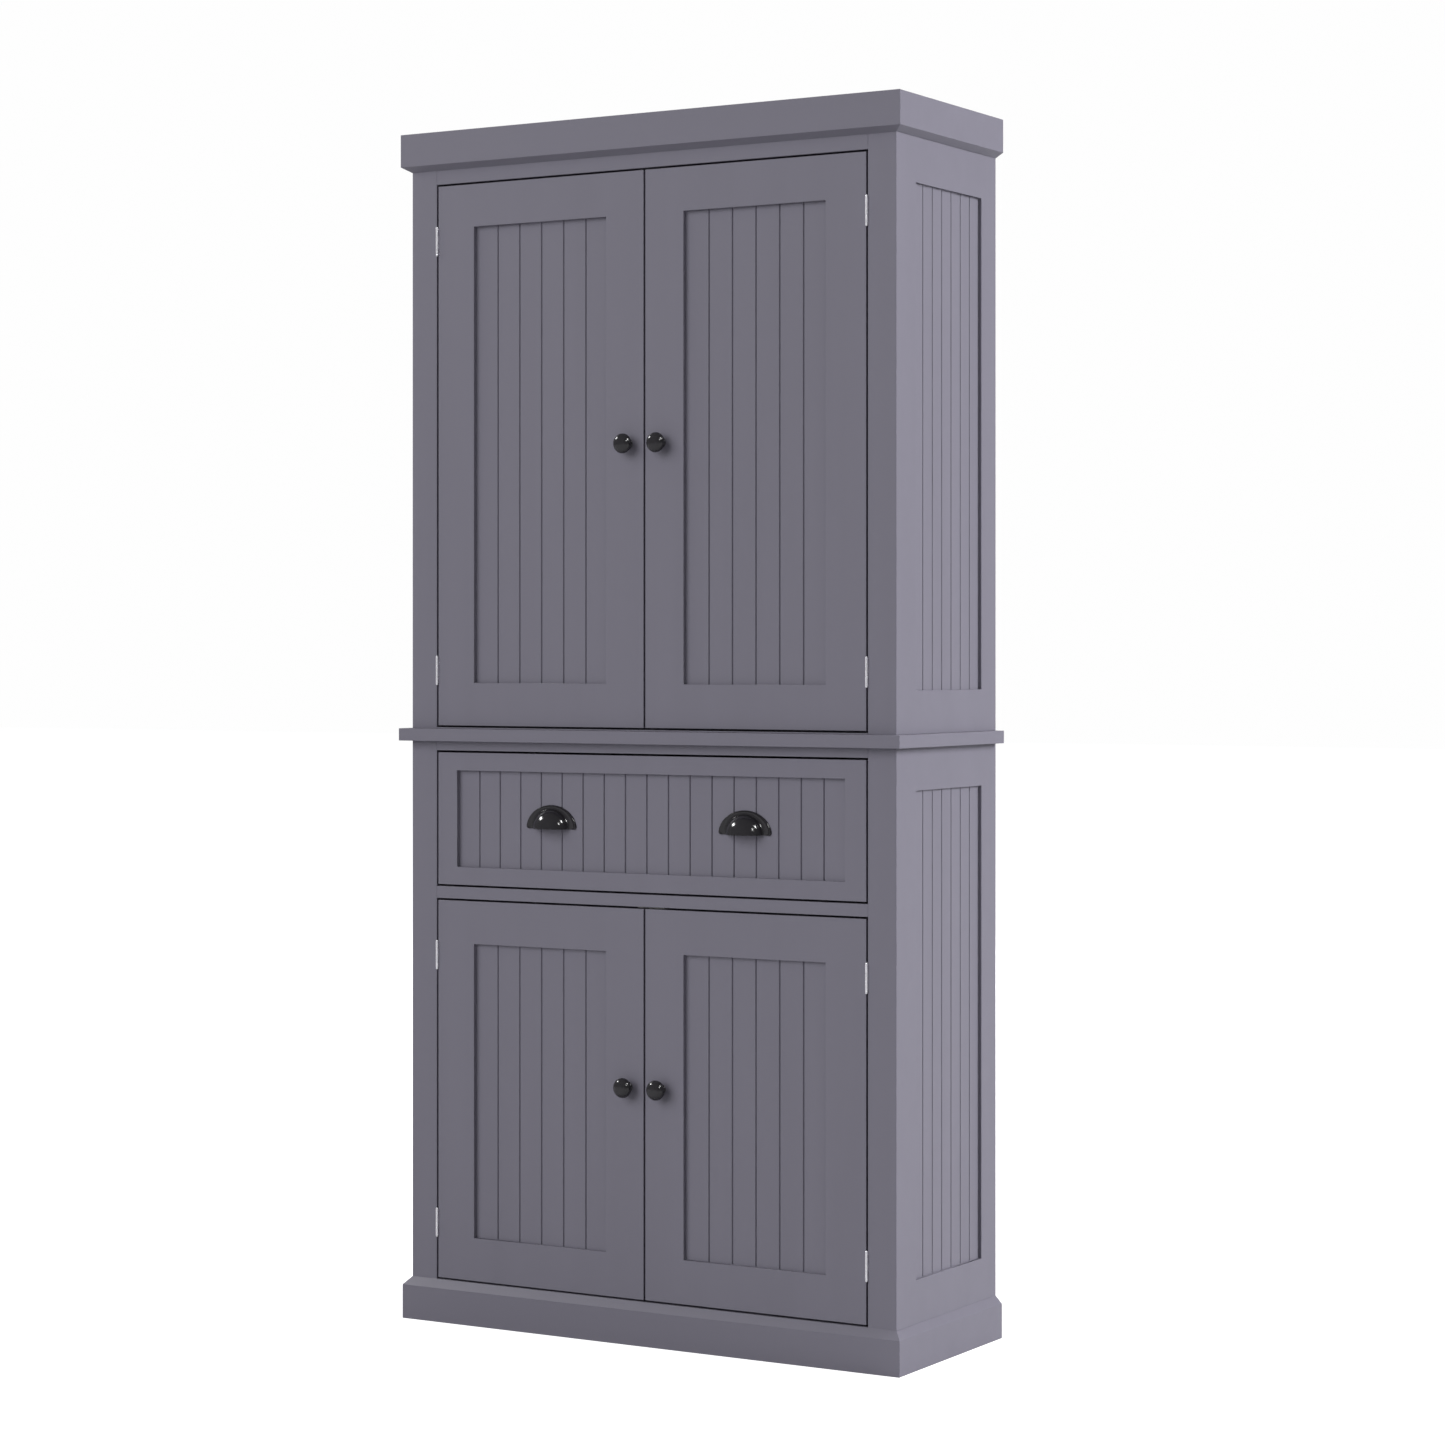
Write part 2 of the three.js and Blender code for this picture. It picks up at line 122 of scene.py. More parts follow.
def seen_strength(nodes, links, unseen, seen):
    """An emission strength that is one number for the light it gives and another to the eye."""
    path = nodes.new("ShaderNodeLightPath")
    strength = nodes.new("ShaderNodeMapRange")
    strength.inputs["To Min"].default_value = unseen
    strength.inputs["To Max"].default_value = seen
    links.new(path.outputs["Is Camera Ray"], strength.inputs["Value"])
    return strength.outputs["Result"]


def add_world():
    """White to the eye, and a softer grey as the light that fills the shadows."""
    world = bpy.data.worlds.new("studio")
    bpy.context.scene.world = world
    world.use_nodes = True
    nodes, links = world.node_tree.nodes, world.node_tree.links
    background = nodes["Background"]
    background.inputs["Color"].default_value = WHITE
    links.new(seen_strength(nodes, links, WORLD_FILL, BACKDROP_WHITE), background.inputs["Strength"])


def add_floor():
    """A plain pale floor, which glows to the eye so that it runs into the white backdrop."""
    mesh = bpy.data.meshes.new("floor")
    half = FLOOR_SIZE / 2
    corners = [(-half, -half, 0), (half, -half, 0), (half, half, 0), (-half, half, 0)]
    mesh.from_pydata(corners, [], [(0, 1, 2, 3)])
    floor = bpy.data.objects.new("floor", mesh)
    bpy.context.scene.collection.objects.link(floor)
    material = bpy.data.materials.new("floor_pale")
    material.use_nodes = True
    nodes, links = material.node_tree.nodes, material.node_tree.links
    shader = nodes["Principled BSDF"]
    shader.inputs["Base Color"].default_value = FLOOR_PALE
    shader.inputs["Roughness"].default_value = FLOOR_ROUGHNESS
    shader.inputs["Emission Color"].default_value = WHITE
    links.new(seen_strength(nodes, links, 0, FLOOR_GLOW), shader.inputs["Emission Strength"])
    mesh.materials.append(material)


def add_studio():
    add_camera()
    add_world()
    add_floor()
    for lights, mirrored in ((BROAD_LIGHTS, False), (GLINT_LIGHTS, True)):
        for name, (direction, distance, size, power) in lights.items():
            add_softbox(name, direction, distance, size, power, mirrored)
    bpy.context.scene.view_settings.view_transform = "Standard"


# ---- materials ------------------------------------------------------------------------------

NOISE_LOW = 0.3
NOISE_HIGH = 0.7


class Shader:
    """A material's node tree round one Principled shader."""

    def __init__(self, name, colour, roughness, metallic=0.0):
        self.material = bpy.data.materials.new(name)
        self.material.use_nodes = True
        self.nodes = self.material.node_tree.nodes
        self.links = self.material.node_tree.links
        self.shader = self.nodes["Principled BSDF"]
        self.colour = colour
        self.roughness = roughness
        self.set("Base Color", (*colour, 1))
        self.set("Roughness", roughness)
        self.set("Metallic", metallic)
        self.place = self.nodes.new("ShaderNodeTexCoord").outputs["Object"]
        self.bump_normal = None

    def set(self, socket, value):
        self.shader.inputs[socket].default_value = value

    def stretched(self, scale):
        mapping = self.nodes.new("ShaderNodeMapping")
        mapping.inputs["Scale"].default_value = scale
        self.links.new(self.place, mapping.inputs["Vector"])
        return mapping.outputs["Vector"]

    def noise(self, scale, detail=2.0, stretch=(1, 1, 1), roughness=0.5):
        noise = self.nodes.new("ShaderNodeTexNoise")
        noise.inputs["Scale"].default_value = scale
        noise.inputs["Detail"].default_value = detail
        noise.inputs["Roughness"].default_value = roughness
        self.links.new(self.stretched(stretch), noise.inputs["Vector"])
        return noise.outputs["Fac"]

    def ranged(self, value, low, high):
        """Takes a noise, over the range where most of it lies, to between low and high."""
        mapped = self.nodes.new("ShaderNodeMapRange")
        self.links.new(value, mapped.inputs["Value"])
        for socket, number in (
            ("From Min", NOISE_LOW),
            ("From Max", NOISE_HIGH),
            ("To Min", low),
            ("To Max", high),
        ):
            mapped.inputs[socket].default_value = number
        return mapped.outputs["Result"]

    def tint(self, value, spread):
        """Varies the colour by plus or minus spread."""
        mix = self.nodes.new("ShaderNodeMix")
        mix.data_type = "RGBA"
        mix.inputs["A"].default_value = (*[c * (1 - spread) for c in self.colour], 1)
        mix.inputs["B"].default_value = (*[c * (1 + spread) for c in self.colour], 1)
        self.links.new(self.ranged(value, 0, 1), mix.inputs["Factor"])
        self.links.new(mix.outputs["Result"], self.shader.inputs["Base Color"])

    def gloss(self, value, spread):
        """Varies the roughness by plus or minus spread."""
        low, high = self.roughness - spread, self.roughness + spread
        self.links.new(self.ranged(value, low, high), self.shader.inputs["Roughness"])

    def bump(self, height, strength, distance):
        bump = self.nodes.new("ShaderNodeBump")
        bump.inputs["Strength"].default_value = strength
        bump.inputs["Distance"].default_value = distance
        self.links.new(height, bump.inputs["Height"])
        if self.bump_normal:
            self.links.new(self.bump_normal, bump.inputs["Normal"])
        self.bump_normal = bump.outputs["Normal"]
        self.links.new(self.bump_normal, self.shader.inputs["Normal"])


PAINT_COLOUR = (0.166, 0.159, 0.197)
PAINT_SPECULAR = 0.38
HARDBOARD_COLOUR = (0.17, 0.105, 0.06)
ENAMEL_COLOUR = (0.022, 0.0208, 0.0242)
NICKEL_COLOUR = (0.93, 0.92, 0.97)
ZINC_COLOUR = (0.62, 0.63, 0.65)
PLASTIC_COLOUR = (0.78, 0.77, 0.74)

RELIEF = 0.2 * MM
FINE_RELIEF = 0.1 * MM
ALONG_Z = (6, 6, 0.35)
ALONG_X = (0.35, 6, 6)
BRUSHED = (1, 1, 0.15)
SCRATCHED = (1, 1, 0.1)


def painted_board(name, grain):
    """Satin paint sprayed on smooth board: fine orange peel over very faint strokes along it."""
    paint = Shader(name, PAINT_COLOUR, roughness=0.46)
    paint.set("Specular IOR Level", PAINT_SPECULAR)
    paint.tint(paint.noise(3.0, detail=3, stretch=grain), spread=0.018)
    paint.gloss(paint.noise(30, detail=3), spread=0.03)
    paint.bump(paint.noise(110, detail=2, stretch=grain, roughness=0.6), 0.05, RELIEF)
    paint.bump(paint.noise(420, detail=1), 0.10, RELIEF)
    return paint.material


def fibreboard(name):
    """Raw hardboard: a felted brown with a fine pressed grain."""
    board = Shader(name, HARDBOARD_COLOUR, roughness=0.72)
    board.tint(board.noise(45, detail=8, roughness=0.75), spread=0.09)
    board.gloss(board.noise(60, detail=3), spread=0.06)
    board.bump(board.noise(700, detail=4), 0.25, RELIEF)
    return board.material


def black_enamel(name):
    """Glossy black enamel on a casting, with a barely uneven skin."""
    enamel = Shader(name, ENAMEL_COLOUR, roughness=0.13)
    enamel.gloss(enamel.noise(160, detail=3), spread=0.02)
    enamel.bump(enamel.noise(240, detail=2), 0.015, RELIEF)
    return enamel.material


def satin_nickel(name):
    """Pale plating, brushed along the barrels."""
    nickel = Shader(name, NICKEL_COLOUR, roughness=0.30, metallic=0.5)
    nickel.gloss(nickel.noise(400, detail=2, stretch=BRUSHED), spread=0.06)
    nickel.bump(nickel.noise(900, detail=2, stretch=SCRATCHED), 0.08, FINE_RELIEF)
    return nickel.material


def zinc_plate(name):
    """Dull, slightly clouded zinc."""
    zinc = Shader(name, ZINC_COLOUR, roughness=0.38, metallic=1.0)
    zinc.tint(zinc.noise(60, detail=4), spread=0.08)
    zinc.gloss(zinc.noise(90, detail=4), spread=0.08)
    return zinc.material


def white_plastic(name):
    """Moulded plastic with a fine spark-eroded texture."""
    plastic = Shader(name, PLASTIC_COLOUR, roughness=0.4)
    plastic.gloss(plastic.noise(200, detail=2), spread=0.05)
    plastic.bump(plastic.noise(600, detail=2), 0.08, FINE_RELIEF)
    return plastic.material


MATERIALS = {
    "paint_upright": painted_board("paint_upright", ALONG_Z),
    "paint_level": painted_board("paint_level", ALONG_X),
    "hardboard": fibreboard("hardboard_raw"),
    "black_metal": black_enamel("black_enamel"),
    "nickel": satin_nickel("satin_nickel"),
    "zinc": zinc_plate("zinc_plate"),
    "plastic": white_plastic("white_plastic"),
}

# ---- pieces ---------------------------------------------------------------------------------

RECORD = frame["record"]
NODE_BODY = {node: body for body, nodes in RECORD["behaviour"]["bodies"].items() for node in nodes}


def add_piece(name, mesh, body, material, stands_for=()):
    piece = bpy.data.objects.new(name, mesh)
    bpy.context.scene.collection.objects.link(piece)
    mesh.materials.clear()
    mesh.materials.append(MATERIALS[material])
    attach(piece, body)
    if stands_for:
        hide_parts(*stands_for)
    return piece


EASE_ANGLE = 30


def ease(piece, width, segments=2, angle=EASE_ANGLE):
    """Rounds the sharp edges of a piece and keeps its flat faces flat in the light."""
    bevel = piece.modifiers.new("ease", "BEVEL")
    bevel.width = width
    bevel.segments = segments
    bevel.angle_limit = math.radians(angle)
    piece.modifiers.new("normals", "WEIGHTED_NORMAL").keep_sharp = True
    return bevel


def near(a, b):
    return abs(a - b) < NEAR


def circle(radius, height, sides):
    """Points round the +Z axis, at a height."""
    turns = [2 * math.pi * i / sides for i in range(sides)]
    return [(radius * math.cos(t), radius * math.sin(t), height) for t in turns]


class Shape:
    """Collects solids, drawn in millimetres about a place in the frame, as one mesh."""

    def __init__(self):
        self.soft = bmesh.new()

    def add(self, rings, place, close=True):
        """A skin over rings of points. A ring of one point is a tip; close=False leaves the rings open."""
        made = [[self.soft.verts.new(place @ (Vector(p) * MM)) for p in ring] for ring in rings]
        for low, high in zip(made, made[1:]):
            count = max(len(low), len(high))
            for i in range(count if close else count - 1):
                corners = [
                    low[i % len(low)],
                    low[(i + 1) % len(low)],
                    high[(i + 1) % len(high)],
                    high[i % len(high)],
                ]
                self.soft.faces.new(list(dict.fromkeys(corners)))
        return made

    def lathe(self, profile, place, sides):
        """Turns [radius, height] points about +Z. The profile starts and ends on the axis."""
        rings = []
        for radius, height in profile:
            if radius == 0:
                rings.append([(0, 0, height)])
            else:
                rings.append(circle(radius, height, sides))
        self.add(rings, place)

    def slab(self, outline, low, high, place):
        """An outline in XY, raised from low to high."""
        made = self.add([[(x, y, z) for x, y in outline] for z in (low, high)], place)
        self.soft.faces.new(made[0][::-1])
        self.soft.faces.new(made[1])

    def block(self, low, high, place=Matrix()):
        outline = [(low[0], low[1]), (high[0], low[1]), (high[0], high[1]), (low[0], high[1])]
        self.slab(outline, low[2], high[2], place)

    def mesh(self, name):
        bmesh.ops.recalc_face_normals(self.soft, faces=self.soft.faces)
        for face in self.soft.faces:
            face.smooth = True
        mesh = bpy.data.meshes.new(name)
        self.soft.to_mesh(mesh)
        self.soft.free()
        return mesh


def facing(at, axis):
    """A place at a point, with its +Z along an axis."""
    turn = Vector(axis).to_track_quat("Z", "Y").to_matrix().to_4x4()
    return Matrix.Translation(at) @ turn


def spline(points, steps):
    """A smooth line through points (Catmull-Rom)."""
    ends = [points[0], *points, points[-1]]
    line = []
    for a, b, c, d in zip(ends, ends[1:], ends[2:], ends[3:]):
        for i in range(steps):
            t = i / steps
            line.append(
                tuple(
                    0.5 * (2 * q + (r - p) * t + (2 * p - 5 * q + 4 * r - s) * t**2
                           + (3 * q - p - 3 * r + s) * t**3)
                    for p, q, r, s in zip(a, b, c, d)
                )
            )
    return [*line, points[-1]]


SCREW_SIDES = 24
# share of the radius, share of the height
SCREW_DOME = ((1, 0), (1, 0.25), (0.93, 0.62), (0.78, 0.9))
CROSS_ARM = 0.6
CROSS_HALF_W = 0.14
CROSS_DEPTH = 0.5
QUARTER_TURNS = ((1, 0), (0, 1), (-1, 0), (0, -1))


def add_screw(shape, at, axis, radius, height):
    """A low domed head with a cross recess. Its radius and height are in millimetres."""
    rings = [circle(radius * share, height * rise, SCREW_SIDES) for share, rise in SCREW_DOME]
    place = facing(at, axis)
    made = shape.add(rings, place)
    shape.soft.faces.new(made[0][::-1])
    arm, half = CROSS_ARM * radius, CROSS_HALF_W * radius
    quarter = [(arm, -half), (arm, half), (half, half)]
    cross = []
    for c, s in QUARTER_TURNS:
        cross += [(c * x - s * y, s * x + c * y) for x, y in quarter]
    lips = shape.add([[(x, y, z) for x, y in cross] for z in (height, -CROSS_DEPTH * height)], place)
    shape.soft.faces.new(lips[1])
    edges = []
    for loop in (made[-1], lips[0]):
        for a, b in zip(loop, [*loop[1:], loop[0]]):
            edges.append(shape.soft.edges.get((a, b)))
    bmesh.ops.bridge_loops(shape.soft, edges=edges)


def centre(box):
    return (box[0] + box[1]) / 2


# ---- boards ---------------------------------------------------------------------------------

EASE = 0.6 * MM
RAIL_EASE = 0.5 * MM
SHEET_EASE = 0.3 * MM
MOULDING_EASE = 1.3 * MM
EASE_SEGMENTS = 3
GROOVE_EASE_SHARE = 0.3
WELD = 0.01 * MM
FLAT_ANGLE = math.radians(0.5)
EDGE_ANGLE = math.radians(30)
SQUARE_ANGLE = math.radians(70)

FACE_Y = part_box("upper_stile_right")[0].y
GLUE_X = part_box("upper_stile_right")[1].x
BODY_HALF_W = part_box("upper_side_right")[1].x

SHELVES = {
    "lower_shelf": "lower",
    "upper_shelf_low": "upper",
    "upper_shelf_high": "upper",
}
PIN_FROM_FRONT = 35 * MM
PIN_FROM_BACK = 45 * MM
PIN_DROP = 2.5 * MM
PIN_HOLE_R = 2.5
PIN_HOLE_D = 6.5 * MM
PIN_HOLE_SIDES = 16
PIN_PITCH = 32 * MM
PIN_STEPS = (-2, -1, 1, 2)


def pin_places(shelf):
    """The two [y, z] places at each side where pins hold a shelf up."""
    low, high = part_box(shelf)
    return [(y, low.z - PIN_DROP) for y in (low.y + PIN_FROM_FRONT, high.y - PIN_FROM_BACK)]


def drill_pin_holes(soft, side, level):
    """Opens the inner face of a side panel at the spare heights for its shelf pins."""
    inner = [f for f in soft.faces if all(near(abs(v.co.x), GLUE_X) for v in f.verts)]
    face = max(inner, key=lambda f: f.calc_area())
    rim = list(face.edges)
    soft.faces.remove(face)
    outward = Vector((SIDES[side], 0, 0))
    places = [place for shelf in SHELVES if SHELVES[shelf] == level for place in pin_places(shelf)]
    rims = []
    for y, z in places:
        for step in PIN_STEPS:
            place = facing((outward.x * GLUE_X, y, z + step * PIN_PITCH), outward)
            ring = [place @ (Vector(p) * MM) for p in circle(PIN_HOLE_R, 0, PIN_HOLE_SIDES)]
            mouth = [soft.verts.new(p) for p in ring]
            foot = [soft.verts.new(p + outward * PIN_HOLE_D) for p in ring]
            pairs = list(zip(mouth, foot))
            for (a, b), (c, d) in zip(pairs, [*pairs[1:], pairs[0]]):
                soft.faces.new((a, b, d, c))
            soft.faces.new(foot)
            rims += [soft.edges.get((a, b)) for a, b in zip(mouth, [*mouth[1:], mouth[0]])]
    bmesh.ops.triangle_fill(soft, use_beauty=True, use_dissolve=False, edges=rim + rims)
    bmesh.ops.recalc_face_normals(soft, faces=soft.faces)


def eased_mesh(node, glued, drill=None):
    """The node's mesh with its outer edges marked for easing, apart from those in a glued joint."""
    cad = frame["nodes"][node].data
    soft = bmesh.new()
    soft.from_mesh(cad)
    bmesh.ops.remove_doubles(soft, verts=soft.verts, dist=WELD)
    bmesh.ops.dissolve_limit(soft, angle_limit=FLAT_ANGLE, verts=soft.verts, edges=soft.edges)
    weight = soft.edges.layers.float.new("bevel_weight_edge")
    for face in soft.faces:
        face.smooth = True
    for edge in soft.edges:
        angle = edge.calc_face_angle(0)
        if angle < EDGE_ANGLE:
            continue
        in_glue = all(glued(corner.co) for corner in edge.verts)
        if edge.is_convex and not in_glue:
            edge[weight] = 1 if angle > SQUARE_ANGLE else GROOVE_EASE_SHARE
        else:
            edge.smooth = False
    if drill:
        drill_pin_holes(soft, *drill)
        for edge in soft.edges:
            if edge[weight] == 0 and edge.calc_face_angle(0) > EDGE_ANGLE:
                edge.smooth = False
    mesh = bpy.data.meshes.new(node)
    soft.to_mesh(mesh)
    soft.free()
    return mesh


def add_eased(node, material, glued=lambda corner: False, width=EASE, drill=None):
    """A twin of a CAD board with eased edges, which stands for it."""
    mesh = eased_mesh(node, glued, drill)
    piece = add_piece(f"{node}_finished", mesh, NODE_BODY[node], material, [node])
    bevel = ease(piece, width, EASE_SEGMENTS)
    bevel.limit_method = "WEIGHT"


def in_stile_joint(corner):
    """The joint between a stile and its side panel, filled and painted over on the front."""
    return near(abs(corner.x), GLUE_X)


def in_mitre(corner):
    """The mitre between the front run of a moulding and a side run."""
    return near(abs(corner.x) - BODY_HALF_W, FACE_Y - corner.y)


FACING_T = 0.25 * MM
FACING_EASE = 0.1 * MM


def add_facing(name, node, low, high):
    """The painted foil on the side of a hardboard sheet that is seen."""
    shape = Shape()
    shape.block(Vector(low) / MM, Vector(high) / MM)
    piece = add_piece(name, shape.mesh(name), NODE_BODY[node], "paint_upright")
    ease(piece, FACING_EASE)


def add_facings():
    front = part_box("back_panel")[0].y
    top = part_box("top_board")[0].z
    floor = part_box("lower_floor")[1].z
    low, high = (-GLUE_X, front - FACING_T, floor), (GLUE_X, front, top)
    add_facing("back_panel_facing", "back_panel", low, high)
    sheet_low, sheet_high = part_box("drawer_bottom")
    back_low, back_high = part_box("drawer_back")
    low = (-back_high.x, sheet_low.y, sheet_high.z)
    high = (back_high.x, back_low.y, sheet_high.z + FACING_T)
    add_facing("drawer_bottom_facing", "drawer_bottom", low, high)


def add_boards():
    for level in LEVELS:
        for side in SIDES:
            add_eased(f"{level}_side_{side}", "paint_upright", in_stile_joint, drill=(side, level))
            add_eased(f"{level}_stile_{side}", "paint_upright", in_stile_joint)
            add_eased(f"{level}_door_{side}", "paint_upright")
    for board in ("mid_rail", "drawer_top_rail", "upper_top_rail"):
        add_eased(board, "paint_level", width=RAIL_EASE)
    for board in ("lower_floor", "upper_floor", "waist_board", "top_board", *SHELVES):
        add_eased(board, "paint_level")
    for moulding in ("plinth", "crown"):
        for run in ("front", *SIDES):
            add_eased(f"{moulding}_{run}", "paint_level", in_mitre, MOULDING_EASE)
    add_eased("back_panel", "hardboard", width=SHEET_EASE)


def add_drawer():
    add_eased("drawer_front", "paint_upright")
    add_eased("drawer_back", "paint_level")
    add_eased("drawer_bottom", "hardboard", width=SHEET_EASE)
    for side in SIDES:
        add_eased(f"drawer_side_{side}", "paint_level")


# ---- knobs and cup pulls --------------------------------------------------------------------

# radius, height above the door
KNOB_BASE = [(0, 0), (8, 0), (8, 0.9), (7.6, 1.35)]
KNOB_HEAD = [
    (6.6, 2.4), (5, 4), (4.6, 8), (7, 10.4), (12, 12), (14.4, 13.4), (15, 15.5), (14.5, 18),
    (12.6, 20.9), (9.4, 23.3), (5, 24.6), (0, 25),
]
KNOB_STEPS = 6
KNOB_SIDES = 64


def add_knobs():
    for level in LEVELS:
        for side in SIDES:
            node = f"{level}_knob_{side}"
            low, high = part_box(node)
            shape = Shape()
            foot = (centre((low, high)).x, high.y, centre((low, high)).z)
            profile = KNOB_BASE + spline(KNOB_HEAD, KNOB_STEPS)
            shape.lathe(profile, facing(foot, (0, -1, 0)), KNOB_SIDES)
            add_piece(f"{node}_polished", shape.mesh(node), NODE_BODY[node], "black_metal", [node])


PULL_HALF_W = 45
PULL_FOOT_R = 4
DOME_HALF_W = 31
DOME_H = 29.5
DOME_OUT = 23
DOME_WALL = 1.8
# share of the way from the dome to the rim, height above the drawer front
PULL_RIM = [
    (0.03, 2.9), (0.065, 2.1), (0.12, 1.72), (0.45, 1.62), (0.66, 1.7), (0.74, 2.1), (0.82, 2.75),
    (0.89, 2.9), (0.95, 2.5), (0.985, 1.7), (1, 0.8), (1, 0),
]
PULL_STEPS = 56
PULL_EASE = 0.35 * MM
METAL_EDGE_ANGLE = 50
TIP_R = 0.01
DOME_STEP = math.radians(5)
DOME_OUTER_STEPS = 17
DOME_INNER_STEPS = 19


def arch_station(turn, half_w, height, out):
    """An arch of a dome, from its widest, on the drawer front, to its tip."""
    return (half_w * math.cos(turn), height * math.cos(turn), out * math.sin(turn))


def pull_stations(pull_h):
    """The pull's section: the half-widths and heights of nested arches, and how far out each is."""
    stations = []
    for step in range(DOME_OUTER_STEPS):
        turn = math.pi / 2 - step * DOME_STEP
        stations.append(arch_station(turn, DOME_HALF_W, DOME_H, DOME_OUT))
    for share, out in PULL_RIM:
        width = DOME_HALF_W + share * (PULL_HALF_W - DOME_HALF_W)
        stations.append((width, DOME_H + share * (pull_h - DOME_H), out))
    inner = [size - DOME_WALL for size in (DOME_HALF_W, DOME_H, DOME_OUT)]
    for step in range(DOME_INNER_STEPS):
        stations.append(arch_station(step * DOME_STEP, *inner))
    return stations


def arch_point(turn, width, height, out):
    """A point on an arch, whose feet are drawn in round the corner as they near the rim."""
    x, z = width * math.cos(turn), height * math.sin(turn)
    drop = max(PULL_FOOT_R - z, 0)
    tuck = PULL_FOOT_R - math.sqrt(PULL_FOOT_R**2 - drop**2)
    reach = max(width - DOME_HALF_W, 0) / (PULL_HALF_W - DOME_HALF_W)
    return (x - math.copysign(tuck * reach, x), z, out)


# Turns a drawing in XY, raised along Z, to stand on the drawer front and come out of it.
OUT_OF_DRAWER = Matrix(((1, 0, 0, 0), (0, 0, -1, 0), (0, 1, 0, 0), (0, 0, 0, 1)))


def add_cup_pulls():
    for side in SIDES:
        node = f"cup_pull_{side}"
        low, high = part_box(node)
        stations = pull_stations((high.z - low.z) / MM)
        shares = [i / PULL_STEPS for i in range(PULL_STEPS + 1)]
        turns = [math.pi * (0.5 - 0.5 * math.cos(math.pi * share)) for share in shares]
        rings = []
        for width, height, out in stations:
            if width < TIP_R:
                rings.append([(0, 0, out)])
            else:
                rings.append([arch_point(t, width, height, out) for t in turns])
        shape = Shape()
        foot = Matrix.Translation((centre((low, high)).x, high.y, low.z))
        upright = foot @ OUT_OF_DRAWER
        made = shape.add(rings, upright, close=False)
        for end in (0, -1):
            shape.soft.faces.new([ring[end] for ring in made])
        piece = add_piece(f"{node}_cast", shape.mesh(node), NODE_BODY[node], "black_metal", [node])
        ease(piece, PULL_EASE, EASE_SEGMENTS, METAL_EDGE_ANGLE)


# ---- hinges ---------------------------------------------------------------------------------

BARREL_R = 1.9
BARREL_SIDES = 32
KNUCKLE_HALF_H = 7
KNUCKLE_PLAY = 0.2
KNUCKLE_CHAMFER = 0.25
HINGE_HALF_H = 20
TIP_H = 2.75
TIP_NECK_H = 0.3
TIP_FOOT_H = 0.5
TIP_STEPS = 8
LEAF_T = 1.2
LEAF_GAP_HALF = 1.5
LEAF_Y = (2.3, 15)
LEAF_EASE = 0.15 * MM
KNEE_LAP = 0.5
DOOR_REACH = KNUCKLE_HALF_H - KNUCKLE_PLAY
FRAME_KNEES = ((KNUCKLE_HALF_H, HINGE_HALF_H), (-HINGE_HALF_H, -KNUCKLE_HALF_H))
DOOR_KNEES = ((-DOOR_REACH, DOOR_REACH),)
HINGE_SCREW = (2.3, 0.22)
HINGE_SCREW_Y = 9.2
HINGE_SCREW_Z = 13


def knuckle(low, high, tip=0):
    """The [radius, height] profile of a knuckle from low to high, and of its rounded tip."""
    neck = BARREL_R - KNUCKLE_CHAMFER
    shoulders = (BARREL_R, low + KNUCKLE_CHAMFER), (BARREL_R, high - KNUCKLE_CHAMFER)
    profile = [(0, low), (neck, low), *shoulders, (neck, high)]
    if not tip:
        return [*profile, (0, high)]
    profile.append((neck, high + TIP_NECK_H))
    for step in range(TIP_STEPS):
        turn = math.pi / 2 * step / TIP_STEPS
        rise = TIP_FOOT_H + (tip - TIP_FOOT_H) * math.sin(turn)
        profile.append((BARREL_R * math.cos(turn), high + rise))
    return [*profile, (0, high + tip)]


def add_barrel(shape, on_frame, place):
    """The frame leaf's two outer knuckles, with their tips, or the door leaf's middle one."""
    if not on_frame:
        shape.lathe(knuckle(-DOOR_REACH, DOOR_REACH), place, BARREL_SIDES)
        return
    tipped = knuckle(KNUCKLE_HALF_H, HINGE_HALF_H, TIP_H)
    for flip in (1, -1):
        shape.lathe([(radius, flip * z) for radius, z in tipped], place, BARREL_SIDES)


def add_plate(shape, on_frame, place):
    """A leaf's plate, and the knees that join it to its knuckles. The frame's side is at +X."""
    way = 1 if on_frame else -1
    x = sorted((way * LEAF_GAP_HALF, way * (LEAF_GAP_HALF - LEAF_T)))
    shape.block((x[0], LEAF_Y[0], -HINGE_HALF_H), (x[1], LEAF_Y[1], HINGE_HALF_H), place)
    for low, high in FRAME_KNEES if on_frame else DOOR_KNEES:
        shape.block((x[0], 0, low), (x[1], LEAF_Y[0] + KNEE_LAP, high), place)


def add_hinge(level, side, end):
    name = f"{level}_{side}_{end}_hinge"
    low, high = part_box(f"{name}_frame_leaf")
    middle = centre((low, high))
    axis = Vector((middle.x, low.y + BARREL_R * MM, middle.z))
    place = Matrix.Translation(axis)
    mirror = place @ Matrix.Diagonal((SIDES[side], 1, 1, 1))
    for part, on_frame in (("frame_leaf", True), ("door_leaf", False)):
        node = f"{name}_{part}"
        shape = Shape()
        add_barrel(shape, on_frame, place)
        add_plate(shape, on_frame, mirror)
        piece = add_piece(f"{node}_plated", shape.mesh(node), NODE_BODY[node], "nickel", [node])
        ease(piece, LEAF_EASE, angle=METAL_EDGE_ANGLE)
        way = SIDES[side] if on_frame else -SIDES[side]
        screws = Shape()
        for z in (-HINGE_SCREW_Z, HINGE_SCREW_Z):
            at = axis + Vector((way * (LEAF_GAP_HALF - LEAF_T), HINGE_SCREW_Y, z)) * MM
            add_screw(screws, at, (-way, 0, 0), *HINGE_SCREW)
        add_piece(f"{node}_screws", screws.mesh(node), NODE_BODY[node], "nickel")


def add_hinges():
    for level in LEVELS:
        for side in SIDES:
            for end in ENDS:
                add_hinge(level, side, end)


# ---- small fixings --------------------------------------------------------------------------

